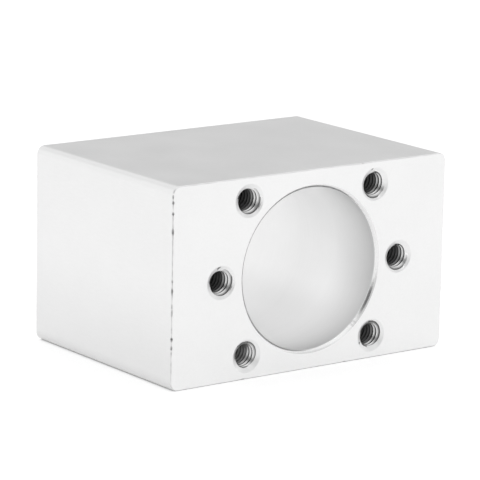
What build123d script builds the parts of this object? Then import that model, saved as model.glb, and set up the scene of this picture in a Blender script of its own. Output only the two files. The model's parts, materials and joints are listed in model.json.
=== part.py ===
from build123d import *
import math
import os

# Housing that holds the flanged nut of a ball screw and bolts to a machine table.
# One piece of aluminium: a bar with rounded long edges, cut square at both ends, bored through
# for the nut and tapped for the screws that hold the nut's flange and the housing itself.
#
# Frame: origin at the centre of the underside, +Z up, X across the bore, Y along the bore.
# The face that the nut's flange seats on is the one at -Y.

# Bore for the nut
bore_diameter = 24.0
bore_chamfer = 0.45

# Metal round the bore
side_wall = 12.5            # from the bore to each side of the block
top_wall = 2.7              # from the bore to the top
bottom_wall = 2.7           # from the bore to the underside

# Bar
length = 35.0               # along the bore
long_edge_radius = 1.2      # the four edges that run along the bore
end_edge_break = 0.15       # the edges round the two sawn ends

# Screws that hold the nut's flange: metric 4 x 0.7
nut_screw_offset = 4.0      # from the bore to the middle of each hole
nut_screw_drill = 3.3
nut_screw_mouth = 4.9
nut_screw_depth = 10.0
nut_screw_angles = (0, 45, 135, 180, 225, 315)

# Screws that hold the housing from below: metric 5 x 0.8
foot_screw_side_edge = 5.5  # from the side of the block to the middle of each hole
foot_screw_end_edge = 6.5   # from the end of the block to the middle of each hole
foot_screw_drill = 4.2
foot_screw_mouth = 5.6
foot_screw_depth = 9.0

# Form of a drilled and countersunk hole
drill_point_angle = 118.0
mouth_angle = 120.0

# Worked out from the sizes above
bore_radius = bore_diameter / 2
width = bore_diameter + 2 * side_wall
height = bottom_wall + bore_diameter + top_wall
axis_height = bottom_wall + bore_radius
nut_screw_circle_radius = bore_radius + nut_screw_offset

# The plane of the nut's seat, centred on the bore: its X is the part's X, its Y is up
seat_plane = Plane(origin=(0, -length / 2, axis_height), x_dir=(1, 0, 0), z_dir=(0, -1, 0))

# The plane of the underside, looking up at it from below
foot_plane = Plane(origin=(0, 0, 0), x_dir=(1, 0, 0), z_dir=(0, 0, -1))


def rounded_bar():
    """The bar, with its long edges rounded and its sawn ends lightly broken."""
    section_plane = Plane(origin=(0, length / 2, height / 2), x_dir=(1, 0, 0), z_dir=(0, -1, 0))
    bar = extrude(section_plane * RectangleRounded(width, height, long_edge_radius), length)
    end_faces = bar.faces().filter_by(Axis.Y)
    return chamfer(end_faces.edges(), end_edge_break)


def bore_cutter():
    """What the boring tool removes: the bore and a chamfer at each mouth."""
    half_length = length / 2
    mouth_radius = bore_radius + bore_chamfer
    outline = Polyline(
        (0, -half_length),
        (mouth_radius, -half_length),
        (bore_radius, -half_length + bore_chamfer),
        (bore_radius, half_length - bore_chamfer),
        (mouth_radius, half_length),
        (0, half_length),
        close=True,
    )
    turned = revolve(make_face(outline), Axis.Y)
    return Pos(0, 0, axis_height) * turned


def tapped_hole_cutter(drill_diameter, mouth_diameter, depth):
    """What drilling and countersinking remove below the plane of a face, along -Z.

    The wall is the tapping drill's. The thread itself is finer than this model shows.
    """
    drill_radius = drill_diameter / 2
    mouth_radius = mouth_diameter / 2
    mouth_depth = (mouth_radius - drill_radius) / math.tan(math.radians(mouth_angle / 2))
    point_depth = drill_radius / math.tan(math.radians(drill_point_angle / 2))
    outline = Polyline(
        (0, 0),
        (mouth_radius, 0),
        (drill_radius, -mouth_depth),
        (drill_radius, -depth),
        (0, -depth - point_depth),
        close=True,
    )
    return revolve(Plane.XZ * make_face(outline), Axis.Z)


def nut_screw_holes():
    """Tapped holes round the bore, at the angles that the nut's flange has."""
    cutter = tapped_hole_cutter(nut_screw_drill, nut_screw_mouth, nut_screw_depth)
    holes = []
    for angle in nut_screw_angles:
        across = nut_screw_circle_radius * math.cos(math.radians(angle))
        up = nut_screw_circle_radius * math.sin(math.radians(angle))
        holes.append(seat_plane * Pos(across, up) * cutter)
    return holes


def foot_screw_holes():
    """Blind tapped holes in the underside, one near each corner, clear of the bore."""
    cutter = tapped_hole_cutter(foot_screw_drill, foot_screw_mouth, foot_screw_depth)
    across = width / 2 - foot_screw_side_edge
    along = length / 2 - foot_screw_end_edge
    corners = [(x, y) for x in (-across, across) for y in (-along, along)]
    return [foot_plane * Pos(x, y) * cutter for x, y in corners]


housing = rounded_bar() - bore_cutter() - nut_screw_holes() - foot_screw_holes()
housing.label = "housing"

os.makedirs("parts", exist_ok=True)
export_step(housing, "parts/housing.step")
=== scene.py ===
import json
import math

import bmesh
import bpy
from mathutils import Matrix, Vector, noise
from mathutils.geometry import delaunay_2d_cdt


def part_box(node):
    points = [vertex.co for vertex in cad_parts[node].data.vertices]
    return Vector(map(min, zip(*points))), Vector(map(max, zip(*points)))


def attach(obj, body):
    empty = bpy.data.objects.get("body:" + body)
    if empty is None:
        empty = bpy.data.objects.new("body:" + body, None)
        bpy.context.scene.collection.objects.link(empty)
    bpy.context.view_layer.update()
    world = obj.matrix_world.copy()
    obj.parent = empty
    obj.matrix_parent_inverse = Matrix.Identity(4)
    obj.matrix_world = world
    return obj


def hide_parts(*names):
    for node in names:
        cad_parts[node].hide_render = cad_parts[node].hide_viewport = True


# The looks of a ball screw nut housing: one block of satin aluminium with real threads in its
# tapped holes, bright machined chamfers and small knocks along its sawn edges.
# The mesh is worked out in millimetres and becomes metres when the object is made.

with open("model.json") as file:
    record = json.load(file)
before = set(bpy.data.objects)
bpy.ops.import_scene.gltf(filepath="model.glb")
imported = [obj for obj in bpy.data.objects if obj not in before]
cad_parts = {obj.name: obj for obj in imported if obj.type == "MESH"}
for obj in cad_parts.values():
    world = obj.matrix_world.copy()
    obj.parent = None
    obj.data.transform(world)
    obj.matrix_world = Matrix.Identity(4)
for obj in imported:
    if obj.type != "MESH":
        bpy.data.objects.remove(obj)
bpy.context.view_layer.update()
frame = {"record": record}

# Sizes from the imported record, in millimetres
MM = 0.001
mounts = {m["name"]: m for m in frame["record"]["mounts"]}
low, high = (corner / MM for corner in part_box("housing"))
width = high.x - low.x
height = high.z - low.z
front_y, back_y = low.y, high.y
length = back_y - front_y
bore_radius = mounts["nut_bore"]["dims"]["r_mm"]
axis_z = mounts["nut_bore"]["pos_m"][2] / MM
bore_chamfer = (length - mounts["nut_bore"]["dims"]["length_mm"]) / 2
screw_circle_radius = mounts["nut_screws_level"]["dims"]["spacing_x_mm"] / 2
nut_screw_drill_radius = mounts["nut_screws_level"]["dims"]["hole_r_mm"]
foot_x = mounts["foot_screws"]["dims"]["spacing_x_mm"] / 2
foot_y = mounts["foot_screws"]["dims"]["spacing_y_mm"] / 2
foot_screw_drill_radius = mounts["foot_screws"]["dims"]["hole_r_mm"]

# Sizes of the finer forms, in millimetres
LONG_EDGE_RADIUS = 1.2         # the four edges along the bore
END_EDGE_BREAK = 0.15          # the edges round the two sawn ends
NUT_SCREW = {"drill": nut_screw_drill_radius, "major": 2.0, "pitch": 0.7, "mouth": 2.45,
             "depth": 10.0, "thread_end": 8.4}
FOOT_SCREW = {"drill": foot_screw_drill_radius, "major": 2.5, "pitch": 0.8, "mouth": 2.8,
              "depth": 9.0, "thread_end": 7.6}
COUNTERSINK_SLOPE = math.tan(math.radians(60))     # narrows by this much for each unit of depth
DRILL_POINT_SLOPE = math.tan(math.radians(59))
CREST_EASE, ROOT_EASE = 0.015, 0.02                # how much a thread's corners are rounded off

# Fineness of the mesh
EDGE_STEP = 0.12               # along the edges of the sawn ends
CORNER_STEPS = 14              # round each long edge
BORE_STEPS = 480
HOLE_STEPS = 56
BREAK_ANGLES = (0, 30, 60, 90)  # rows of points across a broken edge, in degrees
SIDE_ROW_INSET = 1.0           # from each sawn end to the first row of points on the sides
SPARE_TURNS = 2                # turns of a thread's helix before the mouth and past its end
SAME_DEPTH = 0.01              # a helix this close to the mouth or its end is taken as there
INSIDE_TRIANGLES, SAME_POINT = 1, 1e-7             # how the fill of a flat area works

# Tapped holes in the front face: their angle round the bore in degrees, how deep the thread's
# first root lies at the hole's +X side, how deep the hole stays without painted shade and how
# dark the painted shade gets below that
NUT_SCREW_HOLES = (
    (0, 0.22, 1.2, 0.90), (45, 0.19, 1.3, 0.88), (135, 0.34, 1.2, 0.92),
    (180, 0.365, 1.3, 0.92), (225, 0.58, 1.8, 0.66), (315, 0.52, 1.3, 0.88),
)
# The four holes in the foot: the same depths, where each hole's root lies deeper than the last's
FOOT_FIRST_ROOT, FOOT_ROOT_STEP, FOOT_UNSHADED_DEPTH, FOOT_DARKEST = 0.1, 0.17, 1.4, 0.9
# Painted shade in the threads' roots, the depth at which they have it in full, and the depth over
# which painted shade darkens a hole below its unshaded part
ROOT_SHADE, ROOT_SHADE_DEPTH, DARKENING_DEPTH = 0.90, 0.6, 1.3
# Nicks in the countersinks: hole, angle round it in degrees, radius, size. Then how deep they
# are, and how deep in the hole they end
COUNTERSINK_NICKS = (
    (180, 96, 2.30, 0.16), (180, 103, 2.15, 0.16), (315, 206, 2.20, 0.20), (45, 102, 2.3, 0.14),
)
COUNTERSINK_NICK_DEPTH, COUNTERSINK_NICK_END = 0.10, 1.0

# Unevenness of the broken edges: its share of the break, and its two wavelengths
UNEVEN, LONG_WAVE, SHORT_WAVE = 0.30, 1.7, 0.45
# Their grain: its depth and wavelength
EDGE_GRAIN, EDGE_GRAIN_WAVE = 0.012, 0.25
# How far the break reaches across the end, as a share of its reach along the bar
BREAK_ACROSS_END = 0.9
# Knocks on the edges of each sawn end: side, middle and half length along it, and depth
FRONT_CHIPS = (
    ("left", 28.0, 0.35, 0.09), ("left", 27.2, 0.30, 0.13), ("left", 25.6, 0.28, 0.14),
    ("left", 23.1, 0.55, 0.16), ("left", 16.0, 0.25, 0.08), ("left", 14.5, 0.60, 0.10),
    ("left", 12.4, 0.40, 0.07), ("left", 11.4, 0.60, 0.08), ("left", 8.9, 0.50, 0.06),
    ("left", 7.6, 0.30, 0.18), ("left", 6.4, 0.30, 0.10), ("left", 5.6, 0.25, 0.06),
    ("top", 9.0, 0.30, 0.05), ("foot", -12.0, 0.40, 0.05), ("foot", 6.5, 0.30, 0.06),
)
BACK_CHIPS = (
    ("right", 21.0, 0.40, 0.09), ("right", 8.5, 0.30, 0.07), ("top", -14.0, 0.35, 0.06),
    ("foot", 17.0, 0.40, 0.07),
)
# How a knock's depth varies along it: mean, variation and wavelength
CHIP_MEAN, CHIP_VARIES, CHIP_WAVE = 0.8, 0.5, 0.3
# How far a knock reaches along the bar, across the end and between them, as shares of its depth
CHIP_ALONG_BAR, CHIP_ACROSS_END, CHIP_BETWEEN = 1.1, 0.8, 0.7
# How dark each broken edge is, partly wear and partly painted shade, how that varies along it,
# what a knock adds for each millimetre of its depth, and what share of it the outermost points
# have
EDGE_WEAR_AND_SHADE = {"left": 0.32, "right": 0.22, "top": 0.05, "foot": 0.3}
EDGE_WEAR_AND_SHADE_MEAN, EDGE_WEAR_AND_SHADE_VARIES, EDGE_WEAR_AND_SHADE_WAVE = 0.8, 0.9, 0.8
CHIP_DARKENING, OUTERMOST_SHARE = 5, 0.35

# Section of the bore's front chamfer, slightly rounded: shares of its width across the face and
# into the bore, and how far nicks reach there
CHAMFER_ROWS = ((1, 0, 0.35), (0.70, 0.20, 0.8), (0.42, 0.45, 1.0), (0.20, 0.72, 0.8), (0, 1, 0.4))
# Its waviness: depth, wavelength in degrees and seed
CHAMFER_WAVINESS, CHAMFER_WAVE, CHAMFER_SEED = 0.006, 2.0, 31
# Its nicks: angle in degrees, half width in degrees, depth. Then how much darker they are for
# each millimetre of their depth
BORE_NICKS = ((-47.5, 1.0, 0.03), (-50.0, 0.7, 0.04))
BORE_NICK_DARKENING = 7
# Rows of points along the bore, as shares of its length
BORE_ROWS = (0.02, 0.05, 0.09, 0.14, 0.20, 0.28, 0.38, 0.5, 0.62, 0.72, 0.80, 0.86, 0.91, 0.95,
             0.98)
# Painted shade on its wall: how dark it is at the front mouth and how far in that thins to a
# third, then how dark it is deep inside, how far in that starts and over what depth it grows
BORE_MOUTH_SHADE, MOUTH_SHADE_REACH = 0.33, 3.5
INNER_BORE_SHADE, INNER_BORE_SHADE_START, INNER_BORE_SHADE_RISE = 0.16, 8, 9
# Where the painted shade at the front mouth is darker: angle and half width in degrees, and how
# much
BORE_SHADE_PATCHES = ((-90, 30, 0.26), (50, 24, 0.16))

# Painted shade on the bar's two sides, darker towards the bottom: how dark, the height under which
# it starts and the height over which it grows downwards. Then what their lowest edge has more,
# and how high that reaches
SIDE_SHADE, SIDE_SHADE_START, SIDE_SHADE_RISE = 0.095, 16, 14
LOW_EDGE_SHADE, LOW_EDGE_HEIGHT = 0.16, 2

# How far the grain is drawn out along x, y and z
ALONG_BORE, ROUND_BORE, EVENLY = (1, 0.25, 1), (0.04, 1, 0.04), (1, 1, 1)
# The finishes, as the function aluminium describes them
FINISHES = {
    "satin": {"name": "satin_aluminium", "clean": 0.835, "soiled": 0.25, "roughness": 0.40,
              "grain": 0.0000012, "grain_size": 0.30, "streak": ALONG_BORE, "spread": 0.02},
    "bored": {"name": "bored_aluminium", "clean": 0.96, "soiled": 0.30, "roughness": 0.36,
              "grain": 0.0, "grain_size": 0.25, "streak": ROUND_BORE, "spread": 0.01,
              "drawn": 0.85},
    "cut": {"name": "cut_aluminium", "clean": 0.84, "soiled": 0.12, "roughness": 0.22,
            "grain": 0.0000015, "grain_size": 0.20, "streak": EVENLY, "spread": 0.03,
            "matt": 0.12},
    "sunk": {"name": "countersunk_aluminium", "clean": 0.82, "soiled": 0.12, "roughness": 0.40,
             "grain": 0.0000020, "grain_size": 0.20, "streak": EVENLY, "spread": 0.03},
    "edge": {"name": "sawn_edge_aluminium", "clean": 0.80, "soiled": 0.18, "roughness": 0.36,
             "grain": 0.0000060, "grain_size": 0.15, "streak": EVENLY, "spread": 0.05},
    "thread": {"name": "tapped_aluminium", "clean": 0.86, "soiled": 0.07, "roughness": 0.22,
               "grain": 0.0000030, "grain_size": 0.15, "streak": EVENLY, "spread": 0.04},
}
CLOUD_SIZE = 7                 # of the clouds in all finishes, in millimetres
MOTTLE_RANGE = {"From Min": 0.7, "From Max": 1.3}  # of the grains' and clouds' sum
TINT_SPREAD = 0.015            # how much lighter and darker the clouds and grains are
SHADE_AND_WEAR_ROUGHNESS = 0.55

# The camera: degrees, millimetres, and the focal length for a sensor 36 mm wide
CAMERA_AZIMUTH, CAMERA_ELEVATION, CAMERA_ROLL = 36.486, 12.665, 1.100
CAMERA_DISTANCE = 448.165
CAMERA_TARGET = Vector((-7.804, -10.628, 18.637))
CAMERA_LENS, CAMERA_SENSOR = 233.657, 36.0

# Light of the studio by direction: azimuth, elevation, where it is full and where it ends in
# degrees from there, and how much it adds to the even light
EVEN_LIGHT = 1.08
LEAST_LIGHT = 0.06
LIGHTS = (
    (112, 55, 25, 65, 0.06),     # the large soft lamp, high on the right
    (143, 0, 8, 30, 0.38),       # the light wall on the right, before the part
    (135, 34, 10, 32, -0.35),    # the dimmer ceiling above that wall
    (36.5, 8, 12, 36, -0.51),    # the dimmer wall behind
    (-31.5, 25, 3, 14, 0.20),    # a small lamp on the left
    (-14, 40, 5, 20, -0.20),     # the dimmer corner above it
    (-64, 36, 10, 32, -0.35),    # the dimmer wall on the left
    (-125, 29, 8, 22, -1.10),    # the dark side of the room, behind the camera
    (-158, 16, 12, 38, -0.38),   # the dimmer wall next to that
)

# The table, in metres: its disc, how far it lies below the part and how far the painted shade in
# the gap under the part's edges reaches. Then the openness at which its glow starts and is full,
# its glow and its paint
FLOOR_RADIUS, FLOOR_SIDES, FLOOR_DROP = 0.9, 96, 0.00002
GAP_SHADE_REACH = 0.0011
GLOW_START, GLOW_FULL, GLOW = 0.03, 0.30, 0.62
PAINT = 0.50


class Skin:
    """The points and faces of one closed surface, in millimetres.

    Each face has a finish, which picks its material, and belongs to a patch. A patch is shaded
    as one smooth surface, and the edges between patches show as sharp. Each point has its painted
    shade and wear, from 0 for bare metal to 1 for fully dark: painted shade in the threads' roots,
    deep in the holes, in the bore and low on the sides, and wear and painted shade on the broken
    edges, with darker nicks and knocks.
    """

    def __init__(self):
        self.points = []
        self.soil = []
        self.faces = []

    def add(self, x, y, z, soil=0.0):
        self.points.append((x, y, z))
        self.soil.append(soil)
        return len(self.points) - 1

    def face(self, corners, finish, patch):
        """A face, without the corners that come twice. Nothing where fewer than three stay."""
        kept = []
        for corner in corners:
            if corner not in kept:
                kept.append(corner)
        if len(kept) > 2:
            self.faces.append((tuple(kept), finish, patch))

    def bridge(self, ring_a, ring_b, finish, patch):
        """A band of faces between two closed rings with the same number of points."""
        count = len(ring_a)
        for i in range(count):
            j = (i + 1) % count
            self.face((ring_a[i], ring_a[j], ring_b[j], ring_b[i]), finish, patch)

    def fill(self, outer, holes, across, up, finish, patch):
        """Fills a flat area inside the loop outer and outside the loops in holes. across and up
        are the numbers of the two coordinates in its plane."""
        loops = [outer, *holes]
        corners = [i for loop in loops for i in loop]
        flat = [Vector((self.points[i][across], self.points[i][up])) for i in corners]
        # All loops have to run counterclockwise: a clockwise one would hold what is outside it
        areas, start = [], 0
        for loop in loops:
            area = list(range(start, start + len(loop)))
            start += len(loop)
            turning = sum(flat[i].cross(flat[j]) for i, j in zip(area, area[1:] + area[:1]))
            areas.append(area if turning > 0 else area[::-1])
        _, _, faces, sources, _, inside = delaunay_2d_cdt(flat, [], areas, INSIDE_TRIANGLES,
                                                          SAME_POINT)
        for face, areas_inside in zip(faces, inside):
            if areas_inside == [0]:
                self.face([corners[sources[i][0]] for i in face], finish, patch)


def smooth_step(x):
    x = min(1.0, max(0.0, x))
    return x * x * (3 - 2 * x)


def ripple(position, wavelength, seed):
    """Smooth noise from -1 to 1 along a line."""
    return noise.noise(Vector((position / wavelength, seed * 7.31, 0.5)))


def bar_outline():
    """Points round the bar's section, counterclockwise as seen from the front: x, z, the
    outward direction in x and z, the side's name, and the place along that side."""
    half, radius = width / 2, LONG_EDGE_RADIUS
    sides = (
        ("foot", (-half + radius, 0.0), (half - radius, 0.0), -90),
        ("right", (half, radius), (half, height - radius), 0),
        ("top", (half - radius, height), (-half + radius, height), 90),
        ("left", (-half, height - radius), (-half, radius), 180),
    )
    outline = []
    for side, start, end, facing in sides:
        out_x, out_z = math.cos(math.radians(facing)), math.sin(math.radians(facing))
        steps = round(math.dist(start, end) / EDGE_STEP)
        for i in range(steps):
            x = start[0] + (end[0] - start[0]) * i / steps
            z = start[1] + (end[1] - start[1]) * i / steps
            along = x if side in ("foot", "top") else z
            outline.append((x, z, out_x, out_z, side, along))
        centre = (end[0] - out_x * radius, end[1] - out_z * radius)
        for i in range(CORNER_STEPS):
            angle = math.radians(facing + 90 * i / CORNER_STEPS)
            x, z = centre[0] + radius * math.cos(angle), centre[1] + radius * math.sin(angle)
            along = x if side in ("foot", "top") else z
            outline.append((x, z, math.cos(angle), math.sin(angle), side, along))
    return outline


def chip_depth(chips, side, along, run, seed):
    """How deep the knocks on a side are at a place along it. run is the way there from the
    outline's first point."""
    chip = 0.0
    for chip_side, middle, half_length, depth in chips:
        if chip_side == side and abs(along - middle) < half_length:
            shape = 1 - ((along - middle) / half_length) ** 2
            chip += depth * shape * (CHIP_MEAN + CHIP_VARIES * ripple(run, CHIP_WAVE, seed))
    return chip


def broken_edge(skin, outline, end_y, inward, chips, seed):
    """Rows of points across the edge round one sawn end, from the bar's side to its end face.
    inward is 1 or -1, the direction into the bar along Y. Gives the first and the last row."""
    rows = [[] for _ in BREAK_ANGLES]
    run = 0.0
    for i, (x, z, out_x, out_z, side, along) in enumerate(outline):
        run += math.dist((x, z), outline[i - 1][:2]) if i else 0.0
        chip = chip_depth(chips, side, along, run, seed + 5)
        uneven = (1 + UNEVEN * ripple(run, LONG_WAVE, seed)
                  + UNEVEN * ripple(run, SHORT_WAVE, seed + 1))
        along_bar = END_EDGE_BREAK * uneven + CHIP_ALONG_BAR * chip
        across_end = (END_EDGE_BREAK * (2 - uneven) * BREAK_ACROSS_END
                      + CHIP_ACROSS_END * chip)
        # Darker edge: partly wear and partly painted shade, and darker still in the knocks
        varied = EDGE_WEAR_AND_SHADE_MEAN + EDGE_WEAR_AND_SHADE_VARIES * ripple(run, EDGE_WEAR_AND_SHADE_WAVE, seed + 2)
        soil = EDGE_WEAR_AND_SHADE[side] * varied + CHIP_DARKENING * chip
        grain = EDGE_GRAIN * (1 + ripple(run, EDGE_GRAIN_WAVE, seed + 3))
        for row, angle in zip(rows, BREAK_ANGLES):
            turn = math.radians(angle)
            dent = (chip * CHIP_BETWEEN + grain) * math.sin(2 * turn)
            into_side = across_end * (1 - math.cos(turn)) + dent
            into_end = along_bar * (1 - math.sin(turn)) + dent
            shade = soil if 0 < angle < 90 else soil * OUTERMOST_SHARE
            row.append(skin.add(x - out_x * into_side, end_y + inward * into_end,
                                z - out_z * into_side, min(1.0, max(0.0, shade))))
    for row_a, row_b in zip(rows, rows[1:]):
        skin.bridge(row_a, row_b, "edge", f"edge {seed}")
    return rows[0], rows[-1]


def bar_sides(skin, outline, front_row, back_row, foot_holes):
    """The four flat sides and the rounded edges between them, with the screw holes in the foot."""
    middle_rows = [[skin.add(x, y, z) for x, z, *_ in outline]
                   for y in (front_y + SIDE_ROW_INSET, back_y - SIDE_ROW_INSET)]
    rows = [front_row, *middle_rows, back_row]
    foot = [i for i, point in enumerate(outline) if point[4] == "foot"]
    flat_start, flat_end = foot[0] + 1, len(foot) - CORNER_STEPS - 1
    count = len(outline)
    for row_a, row_b in zip(rows, rows[1:]):
        for i in range(count):
            if flat_start <= i < flat_end:
                continue
            j = (i + 1) % count
            skin.face((row_a[i], row_a[j], row_b[j], row_b[i]), "satin", "sides")
    foot_loop = [front_row[i] for i in range(flat_start, flat_end + 1)]
    foot_loop += [row[flat_end] for row in middle_rows]
    foot_loop += [back_row[i] for i in range(flat_end, flat_start - 1, -1)]
    foot_loop += [row[flat_start] for row in reversed(middle_rows)]
    skin.fill(foot_loop, foot_holes, 0, 1, "satin", "sides")


def bore_ring(skin, radius, y, flaws, bore_shade=0.0, mouth_shade_share=0.0):
    """A ring of points round the bore's axis. flaws is how far nicks and waviness show there,
    film the painted shade there, and smudge how far the darker patches of painted shade at the
    front mouth show there."""
    points = []
    for i in range(BORE_STEPS):
        angle = 360 * i / BORE_STEPS
        signed = angle - 360 if angle > 180 else angle
        dent, soil = 0.0, bore_shade
        for middle, half_width, amount in BORE_SHADE_PATCHES:
            soil += mouth_shade_share * amount * math.exp(-((signed - middle) / half_width) ** 2)
        for middle, half_width, depth in BORE_NICKS if flaws else ():
            if abs(signed - middle) < half_width:
                shape = 1 - ((signed - middle) / half_width) ** 2
                dent = max(dent, depth * shape * flaws)
                soil = max(soil, BORE_NICK_DARKENING * dent)
        dent += CHAMFER_WAVINESS * flaws * ripple(angle, CHAMFER_WAVE, CHAMFER_SEED)
        reach = radius + dent
        turn = math.radians(angle)
        points.append(skin.add(reach * math.cos(turn), y, axis_z + reach * math.sin(turn), soil))
    return points


def bore(skin):
    """The bore with a chamfer at each end. Gives the loops of its front and back mouths."""
    chamfer_rows = []
    for across, into, flaws in CHAMFER_ROWS:
        chamfer_rows.append(bore_ring(skin, bore_radius + bore_chamfer * across,
                                      front_y + bore_chamfer * into, flaws))
    wall_rows = [chamfer_rows[-1]]
    for share in BORE_ROWS:
        y = front_y + length * share
        into = y - front_y
        # Painted shade on the wall: darkest at the front mouth, and darker again deep inside
        fade = math.exp(-into / MOUTH_SHADE_REACH)
        inner = smooth_step((into - INNER_BORE_SHADE_START) / INNER_BORE_SHADE_RISE)
        bore_shade = BORE_MOUTH_SHADE * fade + INNER_BORE_SHADE * inner
        wall_rows.append(bore_ring(skin, bore_radius, y, 0, bore_shade, fade))
    back_inner = bore_ring(skin, bore_radius, back_y - bore_chamfer, 0, INNER_BORE_SHADE)
    back_outer = bore_ring(skin, bore_radius + bore_chamfer, back_y, 0)
    wall_rows.append(back_inner)
    for row_a, row_b in zip(chamfer_rows, chamfer_rows[1:]):
        skin.bridge(row_a, row_b, "cut", "front chamfer")
    for row_a, row_b in zip(wall_rows, wall_rows[1:]):
        skin.bridge(row_a, row_b, "bored", "bore")
    skin.bridge(back_inner, back_outer, "cut", "back chamfer")
    return chamfer_rows[0], back_outer


def thread_profile(screw):
    """One turn of the thread in section: places along the hole, as shares of the pitch, and
    radii. The crests are the drill's wall, and the roots reach the screw's outer diameter."""
    crest, root = screw["drill"], screw["major"]
    return ((-0.16, crest + CREST_EASE), (-0.13, crest), (0.13, crest),
            (0.16, crest + CREST_EASE), (0.43, root - ROOT_EASE), (0.47, root), (0.53, root),
            (0.57, root - ROOT_EASE))


def tapped_hole(skin, screw, place, first_root, unshaded_depth, darkest, patch, nicks=()):
    """A tapped, countersunk hole. place turns coordinates across, up and into the metal into a
    point of the part. first_root is the depth of the thread's root on the side that across
    points to. The thread's roots get painted shade, and below unshaded_depth painted shade darkens
    the hole up to darkest; its end is painted fully dark. Gives the loop of its mouth."""
    pitch, mouth, end = screw["pitch"], screw["mouth"], screw["thread_end"]
    profile = thread_profile(screw)
    per_turn = len(profile)
    turns = math.ceil(end / pitch) + 2 * SPARE_TURNS
    start = first_root / pitch - 0.5

    # Painted shade: darker in the roots of the thread, and darker still below the unshaded depth
    def shade_at(radius, into):
        groove = (radius - screw["drill"]) / (screw["major"] - screw["drill"])
        return min(darkest, ROOT_SHADE * groove * smooth_step(into / ROOT_SHADE_DEPTH)
                   + darkest * smooth_step((into - unshaded_depth) / DARKENING_DEPTH))

    def put(column, radius, into, soil):
        angle = 2 * math.pi * column / HOLE_STEPS
        across, up = radius * math.cos(angle), radius * math.sin(angle)
        for nick_angle, nick_radius, size in nicks if 0 < into < COUNTERSINK_NICK_END else ():
            turn = math.radians(nick_angle)
            reach = math.dist((across, up),
                              (nick_radius * math.cos(turn), nick_radius * math.sin(turn)))
            if reach < size:
                soil = 1.0
                into += COUNTERSINK_NICK_DEPTH * (1 - reach / size)
        return skin.add(*place(across, up, into), soil)

    mouth_ring = [put(column, mouth, 0.0, 0.0) for column in range(HOLE_STEPS)]
    # The end of the thread, the drilled wall below it and the drill point are painted fully dark:
    # painted shade deep in the hole
    end_ring = [put(column, screw["drill"], end, 1.0) for column in range(HOLE_STEPS)]
    made = {}

    def corner(row, column):
        """The point on a row of the helix. Past a whole turn it is a point of the next one."""
        if column == HOLE_STEPS:
            row, column = row - per_turn, 0
        turn, step = divmod(row, per_turn)
        share, radius = profile[step]
        into = pitch * (turn - SPARE_TURNS + share + start - column / HOLE_STEPS)
        if into <= SAME_DEPTH:
            return mouth_ring[column]
        if into >= end - SAME_DEPTH:
            return end_ring[column]
        if (row, column) not in made:
            radius = screw["drill"] + (radius - screw["drill"]) * smooth_step((end - into) / pitch)
            cone = mouth - into * COUNTERSINK_SLOPE
            soil = 0.0 if cone > radius else shade_at(radius, into)
            made[row, column] = (put(column, max(radius, cone), into, soil), cone > radius)
        return made[row, column][0]

    quads = []
    for row in range(turns * per_turn - 1):
        for column in range(HOLE_STEPS):
            quads.append((corner(row, column), corner(row + 1, column),
                          corner(row + 1, column + 1), corner(row, column + 1)))
    on_cone = {index for index, cone in made.values() if cone} | set(mouth_ring)
    for quad in quads:
        finish = "sunk" if on_cone.issuperset(quad) else "thread"
        skin.face(quad, finish, patch)

    bottom_ring = [put(column, screw["drill"], screw["depth"], 1.0)
                   for column in range(HOLE_STEPS)]
    skin.bridge(end_ring, bottom_ring, "thread", patch)
    point = put(0, 0.0, screw["depth"] + screw["drill"] / DRILL_POINT_SLOPE, 1.0)
    for i in range(HOLE_STEPS):
        skin.face((bottom_ring[i], bottom_ring[(i + 1) % HOLE_STEPS], point), "thread",
                  patch + " end")
    return mouth_ring


def nut_screw_holes(skin):
    """The tapped holes in the front face. Gives the loops of their mouths."""
    mouths = []
    for angle, first_root, unshaded_depth, darkest in NUT_SCREW_HOLES:
        x = screw_circle_radius * math.cos(math.radians(angle))
        z = axis_z + screw_circle_radius * math.sin(math.radians(angle))
        nicks = [nick[1:] for nick in COUNTERSINK_NICKS if nick[0] == angle]
        mouths.append(tapped_hole(skin, NUT_SCREW,
                                  lambda u, v, w, x=x, z=z: (x + u, front_y + w, z + v),
                                  first_root, unshaded_depth, darkest, f"nut screw {angle}", nicks))
    return mouths


def foot_screw_holes(skin):
    """The tapped holes in the underside. Gives the loops of their mouths."""
    mouths = []
    places = [(x, y) for x in (-foot_x, foot_x) for y in (-foot_y, foot_y)]
    for number, (x, y) in enumerate(places):
        mouths.append(tapped_hole(skin, FOOT_SCREW,
                                  lambda u, v, w, x=x, y=y: (x + u, y - v, w),
                                  FOOT_FIRST_ROOT + FOOT_ROOT_STEP * number, FOOT_UNSHADED_DEPTH,
                                  FOOT_DARKEST, f"foot screw {number}"))
    return mouths


def make_skin():
    skin = Skin()
    outline = bar_outline()
    front_side, front_rim = broken_edge(skin, outline, front_y, 1, FRONT_CHIPS, 1)
    back_side, back_rim = broken_edge(skin, outline, back_y, -1, BACK_CHIPS, 2)
    bar_sides(skin, outline, front_side, back_side, foot_screw_holes(skin))
    front_mouth, back_mouth = bore(skin)
    skin.fill(front_rim, [front_mouth, *nut_screw_holes(skin)], 0, 2, "satin", "front face")
    skin.fill(back_rim, [back_mouth], 0, 2, "satin", "back face")
    return skin


def add_node(tree, kind, inputs=None, **settings):
    """A node with its settings and the values or links of its inputs."""
    made = tree.nodes.new(kind)
    for name, value in settings.items():
        setattr(made, name, value)
    for name, value in (inputs or {}).items():
        socket = made.inputs[name]
        if isinstance(value, bpy.types.NodeSocket):
            tree.links.new(value, socket)
        else:
            socket.default_value = value
    return made


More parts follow.
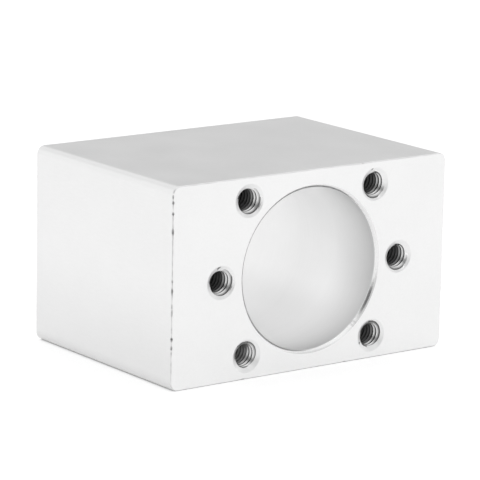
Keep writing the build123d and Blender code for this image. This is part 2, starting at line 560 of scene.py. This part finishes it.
def aluminium(name, clean, soiled, roughness, grain, grain_size, streak, spread, drawn=0.0,
              matt=0.0):
    """A satin aluminium. clean is its own grey and soiled the grey where painted shade and wear
    are full, grain is the depth of its surface in metres, grain_size the size of one grain in
    millimetres, streak how far the grain is drawn out along x, y and z, and spread how much the
    roughness varies. drawn is how much more its gloss spreads round the bore than along it, and
    matt the share of its colour that is not gloss."""
    material = bpy.data.materials.new(name)
    material.use_nodes = True
    tree = material.node_tree
    tree.nodes.clear()
    output = add_node(tree, "ShaderNodeOutputMaterial")
    shader = add_node(tree, "ShaderNodeBsdfPrincipled", {"Metallic": 1.0 - matt})
    if drawn:
        shader.inputs["Anisotropic"].default_value = drawn
        round_axis = add_node(tree, "ShaderNodeTangent", direction_type="RADIAL", axis="Y")
        tree.links.new(round_axis.outputs["Tangent"], shader.inputs["Tangent"])
    tree.links.new(shader.outputs["BSDF"], output.inputs["Surface"])

    place = add_node(tree, "ShaderNodeTexCoord").outputs["Object"]
    stretched = add_node(tree, "ShaderNodeMapping", {"Vector": place, "Scale": streak})
    fine = add_node(tree, "ShaderNodeTexNoise",
                    {"Vector": stretched.outputs["Vector"], "Scale": 1 / (grain_size * MM),
                     "Detail": 3.0, "Roughness": 0.6})
    clouds = add_node(tree, "ShaderNodeTexNoise",
                      {"Vector": place, "Scale": 1 / (CLOUD_SIZE * MM), "Detail": 2.0})
    soil = add_node(tree, "ShaderNodeAttribute", attribute_name="soil").outputs["Fac"]

    # Colour: a little lighter and darker in clouds and grains, and dark where painted shade and
    # wear lie
    mottle = add_node(tree, "ShaderNodeMath",
                      {0: fine.outputs["Fac"], 1: clouds.outputs["Fac"]}, operation="ADD")
    tint = add_node(tree, "ShaderNodeMapRange",
                    {"Value": mottle.outputs["Value"], **MOTTLE_RANGE,
                     "To Min": clean * (1 - TINT_SPREAD),
                     "To Max": min(1.0, clean * (1 + TINT_SPREAD))})
    tone = add_node(tree, "ShaderNodeMix",
                    {"Factor": soil, "A": tint.outputs["Result"], "B": soiled},
                    data_type="FLOAT")
    colour = add_node(tree, "ShaderNodeCombineColor",
                      {"Red": tone.outputs["Result"], "Green": tone.outputs["Result"],
                       "Blue": tone.outputs["Result"]})
    tree.links.new(colour.outputs["Color"], shader.inputs["Base Color"])

    # Gloss: varies with the same grains and clouds, and is duller where painted shade and wear lie
    gloss = add_node(tree, "ShaderNodeMapRange",
                     {"Value": mottle.outputs["Value"], **MOTTLE_RANGE,
                      "To Min": roughness - spread, "To Max": roughness + spread})
    dull = add_node(tree, "ShaderNodeMix",
                    {"Factor": soil, "A": gloss.outputs["Result"], "B": SHADE_AND_WEAR_ROUGHNESS},
                    data_type="FLOAT")
    tree.links.new(dull.outputs["Result"], shader.inputs["Roughness"])

    bump = add_node(tree, "ShaderNodeBump",
                    {"Height": fine.outputs["Fac"], "Strength": 1.0, "Distance": grain})
    tree.links.new(bump.outputs["Normal"], shader.inputs["Normal"])
    return material


def side_shade(x, _, z):
    """The painted shade at a point of the bar's sides, darker towards the underside."""
    towards_side = (abs(x) - (width / 2 - LONG_EDGE_RADIUS)) / LONG_EDGE_RADIUS
    return min(1.0, max(0.0, towards_side)) * (
        SIDE_SHADE * smooth_step((SIDE_SHADE_START - z) / SIDE_SHADE_RISE)
        + LOW_EDGE_SHADE * smooth_step((LOW_EDGE_HEIGHT - z) / LOW_EDGE_HEIGHT))


def add_shade_and_wear(mesh, skin):
    """The painted shade and wear of every corner of every face, as the materials read it."""
    amounts = []
    for face, finish, patch in skin.faces:
        for corner in face:
            if patch == "sides":
                amounts.append(side_shade(*skin.points[corner]))
            else:
                amounts.append(0.0 if finish == "satin" else skin.soil[corner])
    soil = mesh.attributes.new("soil", "FLOAT", "CORNER")
    soil.data.foreach_set("value", amounts)


def mark_sharp_edges(mesh, skin):
    """Marks the edges between two patches as sharp."""
    patch_of = {}
    sharp = set()
    for face, _, patch in skin.faces:
        for a, b in zip(face, face[1:] + face[:1]):
            edge = (min(a, b), max(a, b))
            if patch_of.setdefault(edge, patch) != patch:
                sharp.add(edge)
    mesh.update(calc_edges=True)
    marks = mesh.attributes.new("sharp_edge", "BOOLEAN", "EDGE")
    marks.data.foreach_set("value", [tuple(sorted(e.vertices)) in sharp for e in mesh.edges])


def make_object(skin):
    """The object, with its materials, its painted shade and wear and its sharp edges."""
    mesh = bpy.data.meshes.new("housing_body")
    mesh.from_pydata([[c * MM for c in point] for point in skin.points], [],
                     [face for face, _, _ in skin.faces])
    for settings in FINISHES.values():
        mesh.materials.append(aluminium(**settings))
    order = list(FINISHES)
    mesh.polygons.foreach_set("material_index", [order.index(f) for _, f, _ in skin.faces])
    mesh.polygons.foreach_set("use_smooth", [True] * len(skin.faces))
    add_shade_and_wear(mesh, skin)
    mark_sharp_edges(mesh, skin)
    body = bpy.data.objects.new("housing_body", mesh)
    bpy.context.scene.collection.objects.link(body)

    work = bmesh.new()
    work.from_mesh(mesh)
    bmesh.ops.recalc_face_normals(work, faces=work.faces)
    loose = [v for v in work.verts if not v.link_faces]
    bmesh.ops.delete(work, geom=loose, context="VERTS")
    work.to_mesh(mesh)
    work.free()
    return body


def direction(azimuth, elevation):
    """Azimuth 0 looks along +Y from the part and 90 along +X, in degrees."""
    turn, rise = math.radians(azimuth), math.radians(elevation)
    return Vector((math.sin(turn) * math.cos(rise), math.cos(turn) * math.cos(rise),
                   math.sin(rise)))


def make_world():
    """The light of the room: even, with lighter and darker parts."""
    world = bpy.data.worlds.new("studio")
    world.use_nodes = True
    bpy.context.scene.world = world
    tree = world.node_tree
    tree.nodes.clear()
    towards = add_node(tree, "ShaderNodeTexCoord").outputs["Generated"]
    total = EVEN_LIGHT
    for azimuth, elevation, full, end, amount in LIGHTS:
        near = add_node(tree, "ShaderNodeVectorMath",
                        {0: towards, 1: direction(azimuth, elevation)}, operation="DOT_PRODUCT")
        part = add_node(tree, "ShaderNodeMapRange",
                        {"Value": near.outputs["Value"], "From Min": math.cos(math.radians(end)),
                         "From Max": math.cos(math.radians(full)), "To Min": 0.0,
                         "To Max": amount}, interpolation_type="SMOOTHSTEP")
        total = add_node(tree, "ShaderNodeMath", {0: part.outputs["Result"], 1: total},
                         operation="ADD").outputs["Value"]
    total = add_node(tree, "ShaderNodeMath", {0: total, 1: LEAST_LIGHT},
                     operation="MAXIMUM").outputs["Value"]
    sky = add_node(tree, "ShaderNodeBackground", {"Color": (1, 1, 1, 1), "Strength": total})
    output = add_node(tree, "ShaderNodeOutputWorld")
    tree.links.new(sky.outputs["Background"], output.inputs["Surface"])


def make_floor():
    """A white table. Part of its white is its own glow, so that it shows as white with only a
    soft shadow round the part. The glow is dimmed where an occlusion test finds the part close
    by, which paints a dark shade into the narrow gap under its edges."""
    mesh = bpy.data.meshes.new("floor")
    turns = [2 * math.pi * i / FLOOR_SIDES for i in range(FLOOR_SIDES)]
    rim = [(FLOOR_RADIUS * math.cos(turn), FLOOR_RADIUS * math.sin(turn), -FLOOR_DROP)
           for turn in turns]
    mesh.from_pydata(rim, [], [list(range(FLOOR_SIDES))])
    material = bpy.data.materials.new("white_table")
    material.use_nodes = True
    tree = material.node_tree
    tree.nodes.clear()
    rays = add_node(tree, "ShaderNodeLightPath").outputs
    seen = add_node(tree, "ShaderNodeMath", {0: rays["Is Camera Ray"], 1: rays["Is Glossy Ray"]},
                    operation="MAXIMUM")
    seen = add_node(tree, "ShaderNodeMath",
                    {0: seen.outputs["Value"], 1: rays["Is Transmission Ray"]},
                    operation="MAXIMUM")
    # Painted shade: the glow fades where the part is within reach, darkest in the gap under its
    # edges
    gap_shade = add_node(tree, "ShaderNodeAmbientOcclusion", {"Distance": GAP_SHADE_REACH}, samples=8)
    share = add_node(tree, "ShaderNodeMapRange",
                     {"Value": gap_shade.outputs["AO"], "From Min": GLOW_START, "From Max": GLOW_FULL,
                      "To Min": 0.0, "To Max": GLOW})
    glow_strength = add_node(tree, "ShaderNodeMath",
                             {0: seen.outputs["Value"], 1: share.outputs["Result"]},
                             operation="MULTIPLY")
    glow = add_node(tree, "ShaderNodeEmission", {"Color": (1, 1, 1, 1),
                                                 "Strength": glow_strength.outputs["Value"]})
    paint = add_node(tree, "ShaderNodeBsdfDiffuse", {"Color": (PAINT, PAINT, PAINT, 1)})
    both = add_node(tree, "ShaderNodeAddShader",
                    {0: glow.outputs["Emission"], 1: paint.outputs["BSDF"]})
    output = add_node(tree, "ShaderNodeOutputMaterial")
    tree.links.new(both.outputs["Shader"], output.inputs["Surface"])
    mesh.materials.append(material)
    floor = bpy.data.objects.new("floor", mesh)
    bpy.context.scene.collection.objects.link(floor)


def make_camera():
    data = bpy.data.cameras.new("camera")
    data.sensor_width = CAMERA_SENSOR
    data.lens = CAMERA_LENS
    data.clip_start, data.clip_end = 0.01, 10.0
    camera = bpy.data.objects.new("camera", data)
    back = direction(180 + CAMERA_AZIMUTH, CAMERA_ELEVATION)
    right = (-back).cross(Vector((0, 0, 1))).normalized()
    up = right.cross(-back)
    roll = math.radians(CAMERA_ROLL)
    across = math.cos(roll) * right + math.sin(roll) * up
    upward = math.cos(roll) * up - math.sin(roll) * right
    turned = Matrix((across, upward, back)).transposed().to_4x4()
    spot = (CAMERA_TARGET + CAMERA_DISTANCE * back) * MM
    camera.matrix_world = Matrix.Translation(spot) @ turned
    bpy.context.scene.collection.objects.link(camera)
    bpy.context.scene.camera = camera


body = make_object(make_skin())
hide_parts("housing")
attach(body, "root")
make_world()
make_floor()
make_camera()
bpy.context.scene.view_settings.view_transform = "Standard"
